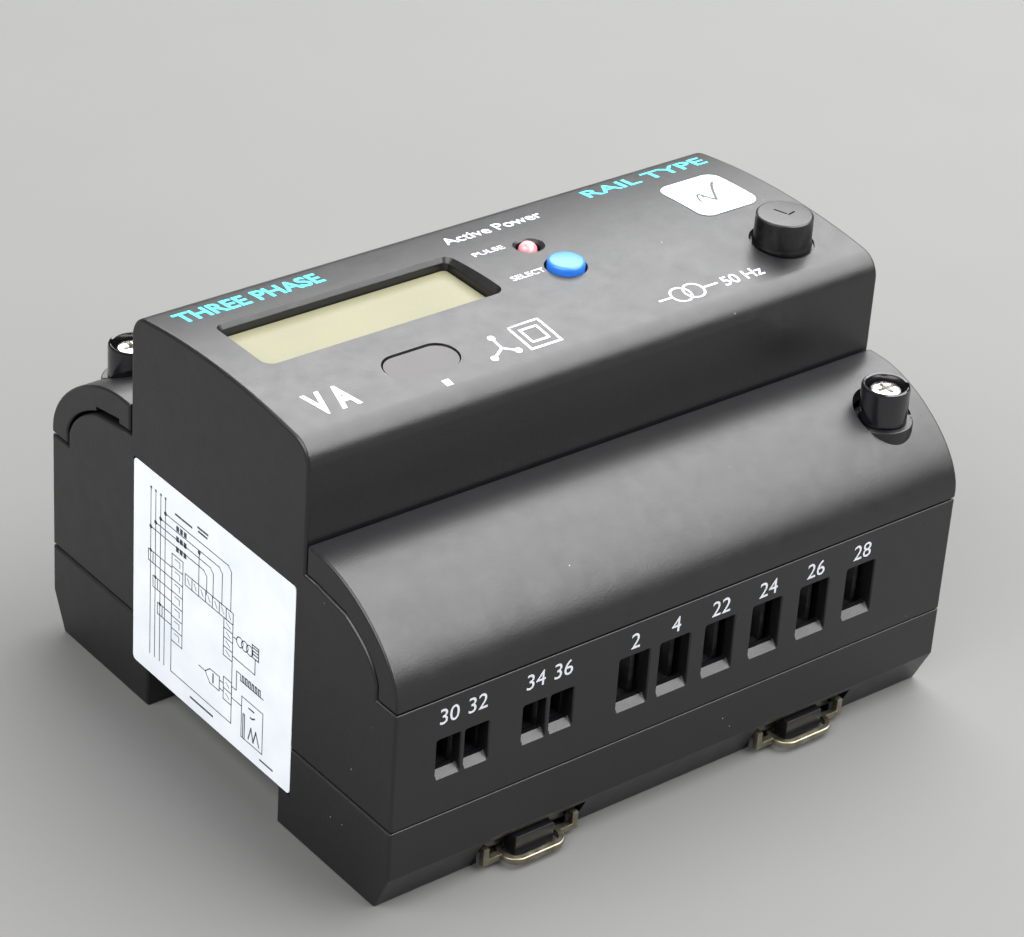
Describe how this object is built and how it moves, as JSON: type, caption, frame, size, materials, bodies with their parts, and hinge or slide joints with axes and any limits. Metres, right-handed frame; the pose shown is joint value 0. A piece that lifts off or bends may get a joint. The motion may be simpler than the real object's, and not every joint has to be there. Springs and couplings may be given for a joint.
{
  "type": "smart electric meter",
  "caption": "Rail-mounted energy meter with a raised display block, rounded terminal covers, sealing screws, screw terminals and sprung rail clips.",
  "frame": {"origin": "middle of the footprint at the height of the underside's two wings", "axes": "+X along the mounting rail, +Z away from the rail towards the display, -Y the side of the mains terminals and the rail clips' pull loops"},
  "size_m": [0.107, 0.0918, 0.0729],
  "materials": {
    "casing": "moulded, fine satin texture",
    "sleeve": "glossy black moulding",
    "knob": "satin black moulding",
    "button": "smooth blue moulding",
    "led_lens": "clear red lens",
    "infrared_window": "smooth dark tinted plastic",
    "display_glass": "pale green display glass",
    "carrier": "pale moulding",
    "paper": "printed label film",
    "board": "green circuit board",
    "nickel_steel": "nickel plated steel",
    "loop_steel": "passivated plated steel",
    "terminal_plastic": "moulded terminal body",
    "core_steel": "varnished core",
    "can": "drawn can",
    "relay_case": "moulded case"
  },
  "bodies": {
    "housing": {"base_shell": "casing", "upper_housing": "casing", "casing_screw_far": "nickel_steel", "casing_screw_near": "nickel_steel", "lock_switch": "terminal_plastic", "scroll_switch": "terminal_plastic", "power_led": "led_lens", "infrared_window": "infrared_window", "lcd_glass": "display_glass", "lcd_frame": "carrier", "display_board": "board", "wiring_label": "paper", "check_sticker": "paper", "relay_terminals": "terminal_plastic", "pulse_terminals": "terminal_plastic", "data_terminals": "terminal_plastic", "current_terminals": "terminal_plastic", "main_board": "board", "power_transformer": "core_steel", "filter_capacitor": "can", "output_relay": "relay_case", "backup_battery": "nickel_steel", "board_link": "terminal_plastic"},
    "cover_near": {"terminal_cover_near": "casing", "seal_sleeve_near": "sleeve"},
    "seal_near": {"seal_screw_near": "nickel_steel"},
    "cover_far": {"terminal_cover_far": "casing", "seal_sleeve_far": "sleeve"},
    "seal_far": {"seal_screw_far": "nickel_steel"},
    "knob": {"lock_knob": "knob"},
    "button": {"scroll_button": "button"},
    "clip_left": {"rail_clip_left": "casing", "clip_pull_left": "loop_steel"},
    "clip_right": {"rail_clip_right": "casing", "clip_pull_right": "loop_steel"},
    "cage_screw_l": {"screw_l": "nickel_steel"},
    "cage_l": {"clamp_l": "nickel_steel"},
    "cage_screw_n": {"screw_n": "nickel_steel"},
    "cage_n": {"clamp_n": "nickel_steel"},
    "cage_screw_v1": {"screw_v1": "nickel_steel"},
    "cage_v1": {"clamp_v1": "nickel_steel"},
    "cage_screw_v2": {"screw_v2": "nickel_steel"},
    "cage_v2": {"clamp_v2": "nickel_steel"},
    "cage_screw_v3": {"screw_v3": "nickel_steel"},
    "cage_v3": {"clamp_v3": "nickel_steel"},
    "cage_screw_vn": {"screw_vn": "nickel_steel"},
    "cage_vn": {"clamp_vn": "nickel_steel"},
    "way_screw_r1": {"screw_r1": "nickel_steel"},
    "way_screw_r2": {"screw_r2": "nickel_steel"},
    "way_screw_p1": {"screw_p1": "nickel_steel"},
    "way_screw_p2": {"screw_p2": "nickel_steel"},
    "way_screw_d1": {"screw_d1": "nickel_steel"},
    "way_screw_d2": {"screw_d2": "nickel_steel"},
    "way_screw_d3": {"screw_d3": "nickel_steel"},
    "way_screw_i1": {"screw_i1": "nickel_steel"},
    "way_screw_i2": {"screw_i2": "nickel_steel"},
    "way_screw_i3": {"screw_i3": "nickel_steel"},
    "way_screw_i4": {"screw_i4": "nickel_steel"},
    "way_screw_i5": {"screw_i5": "nickel_steel"},
    "way_screw_i6": {"screw_i6": "nickel_steel"}
  },
  "joints": [
    {"name": "cover_near_lift", "type": "slide", "parent": "housing", "child": "cover_near", "axis": [0, 0, 1], "range_m": [0, 0.03]},
    {"name": "seal_near_turn", "type": "hinge", "parent": "cover_near", "child": "seal_near", "pos_m": [0.04505, -0.03435, 0.051], "axis": [0, 0, 1], "range_deg": [0, 1440]},
    {"name": "cover_far_lift", "type": "slide", "parent": "housing", "child": "cover_far", "axis": [0, 0, 1], "range_m": [0, 0.03]},
    {"name": "seal_far_turn", "type": "hinge", "parent": "cover_far", "child": "seal_far", "pos_m": [-0.04505, 0.03615, 0.051], "axis": [0, 0, 1], "range_deg": [0, 1440]},
    {"name": "knob_turn", "type": "hinge", "parent": "housing", "child": "knob", "pos_m": [0.0425, -0.011, 0.07], "axis": [0, 0, -1], "range_deg": [0, 90]},
    {"name": "button_press", "type": "slide", "parent": "housing", "child": "button", "axis": [0, 0, -1], "range_m": [0, 0.0008], "stiffness_N_per_m": 100, "springref_m": -0.0005},
    {"name": "clip_left_pull", "type": "slide", "parent": "housing", "child": "clip_left", "axis": [0, -1, 0], "range_m": [0, 0.004], "stiffness_N_per_m": 200, "springref_m": -0.002},
    {"name": "clip_right_pull", "type": "slide", "parent": "housing", "child": "clip_right", "axis": [0, -1, 0], "range_m": [0, 0.004], "stiffness_N_per_m": 200, "springref_m": -0.002},
    {"name": "screw_l_turn", "type": "hinge", "parent": "housing", "child": "cage_screw_l", "pos_m": [-0.0101, -0.0376, 0.033], "axis": [0, 0, -1], "range_deg": [0, 1500]},
    {"name": "clamp_l_rise", "type": "slide", "parent": "housing", "child": "cage_l", "axis": [0, 0, 1], "range_m": [0, 0.0028]},
    {"name": "screw_n_turn", "type": "hinge", "parent": "housing", "child": "cage_screw_n", "pos_m": [-0.0024, -0.0376, 0.033], "axis": [0, 0, -1], "range_deg": [0, 1500]},
    {"name": "clamp_n_rise", "type": "slide", "parent": "housing", "child": "cage_n", "axis": [0, 0, 1], "range_m": [0, 0.0028]},
    {"name": "screw_v1_turn", "type": "hinge", "parent": "housing", "child": "cage_screw_v1", "pos_m": [0.0063, -0.0376, 0.033], "axis": [0, 0, -1], "range_deg": [0, 1500]},
    {"name": "clamp_v1_rise", "type": "slide", "parent": "housing", "child": "cage_v1", "axis": [0, 0, 1], "range_m": [0, 0.0028]},
    {"name": "screw_v2_turn", "type": "hinge", "parent": "housing", "child": "cage_screw_v2", "pos_m": [0.0156, -0.0376, 0.033], "axis": [0, 0, -1], "range_deg": [0, 1500]},
    {"name": "clamp_v2_rise", "type": "slide", "parent": "housing", "child": "cage_v2", "axis": [0, 0, 1], "range_m": [0, 0.0028]},
    {"name": "screw_v3_turn", "type": "hinge", "parent": "housing", "child": "cage_screw_v3", "pos_m": [0.0251, -0.0376, 0.033], "axis": [0, 0, -1], "range_deg": [0, 1500]},
    {"name": "clamp_v3_rise", "type": "slide", "parent": "housing", "child": "cage_v3", "axis": [0, 0, 1], "range_m": [0, 0.0028]},
    {"name": "screw_vn_turn", "type": "hinge", "parent": "housing", "child": "cage_screw_vn", "pos_m": [0.0346, -0.0376, 0.033], "axis": [0, 0, -1], "range_deg": [0, 1500]},
    {"name": "clamp_vn_rise", "type": "slide", "parent": "housing", "child": "cage_vn", "axis": [0, 0, 1], "range_m": [0, 0.0028]},
    {"name": "screw_r1_turn", "type": "hinge", "parent": "housing", "child": "way_screw_r1", "pos_m": [-0.0438, -0.0365, 0.0295], "axis": [0, 0, -1], "range_deg": [0, 1440]},
    {"name": "screw_r2_turn", "type": "hinge", "parent": "housing", "child": "way_screw_r2", "pos_m": [-0.0388, -0.0365, 0.0295], "axis": [0, 0, -1], "range_deg": [0, 1440]},
    {"name": "screw_p1_turn", "type": "hinge", "parent": "housing", "child": "way_screw_p1", "pos_m": [-0.02845, -0.0365, 0.0295], "axis": [0, 0, -1], "range_deg": [0, 1440]},
    {"name": "screw_p2_turn", "type": "hinge", "parent": "housing", "child": "way_screw_p2", "pos_m": [-0.02345, -0.0365, 0.0295], "axis": [0, 0, -1], "range_deg": [0, 1440]},
    {"name": "screw_d1_turn", "type": "hinge", "parent": "housing", "child": "way_screw_d1", "pos_m": [-0.0275, 0.0383, 0.0295], "axis": [0, 0, -1], "range_deg": [0, 1440]},
    {"name": "screw_d2_turn", "type": "hinge", "parent": "housing", "child": "way_screw_d2", "pos_m": [-0.0325, 0.0383, 0.0295], "axis": [0, 0, -1], "range_deg": [0, 1440]},
    {"name": "screw_d3_turn", "type": "hinge", "parent": "housing", "child": "way_screw_d3", "pos_m": [-0.0375, 0.0383, 0.0295], "axis": [0, 0, -1], "range_deg": [0, 1440]},
    {"name": "screw_i1_turn", "type": "hinge", "parent": "housing", "child": "way_screw_i1", "pos_m": [0.0331, 0.0383, 0.0295], "axis": [0, 0, -1], "range_deg": [0, 1440]},
    {"name": "screw_i2_turn", "type": "hinge", "parent": "housing", "child": "way_screw_i2", "pos_m": [0.02548, 0.0383, 0.0295], "axis": [0, 0, -1], "range_deg": [0, 1440]},
    {"name": "screw_i3_turn", "type": "hinge", "parent": "housing", "child": "way_screw_i3", "pos_m": [0.01786, 0.0383, 0.0295], "axis": [0, 0, -1], "range_deg": [0, 1440]},
    {"name": "screw_i4_turn", "type": "hinge", "parent": "housing", "child": "way_screw_i4", "pos_m": [0.01024, 0.0383, 0.0295], "axis": [0, 0, -1], "range_deg": [0, 1440]},
    {"name": "screw_i5_turn", "type": "hinge", "parent": "housing", "child": "way_screw_i5", "pos_m": [0.00262, 0.0383, 0.0295], "axis": [0, 0, -1], "range_deg": [0, 1440]},
    {"name": "screw_i6_turn", "type": "hinge", "parent": "housing", "child": "way_screw_i6", "pos_m": [-0.005, 0.0383, 0.0295], "axis": [0, 0, -1], "range_deg": [0, 1440]}
  ],
  "couplings": [
    {"joint": "screw_l_turn", "follows": "clamp_l_rise", "rad_per_m": 8976},
    {"joint": "screw_n_turn", "follows": "clamp_n_rise", "rad_per_m": 8976},
    {"joint": "screw_v1_turn", "follows": "clamp_v1_rise", "rad_per_m": 8976},
    {"joint": "screw_v2_turn", "follows": "clamp_v2_rise", "rad_per_m": 8976},
    {"joint": "screw_v3_turn", "follows": "clamp_v3_rise", "rad_per_m": 8976},
    {"joint": "screw_vn_turn", "follows": "clamp_vn_rise", "rad_per_m": 8976}
  ]
}
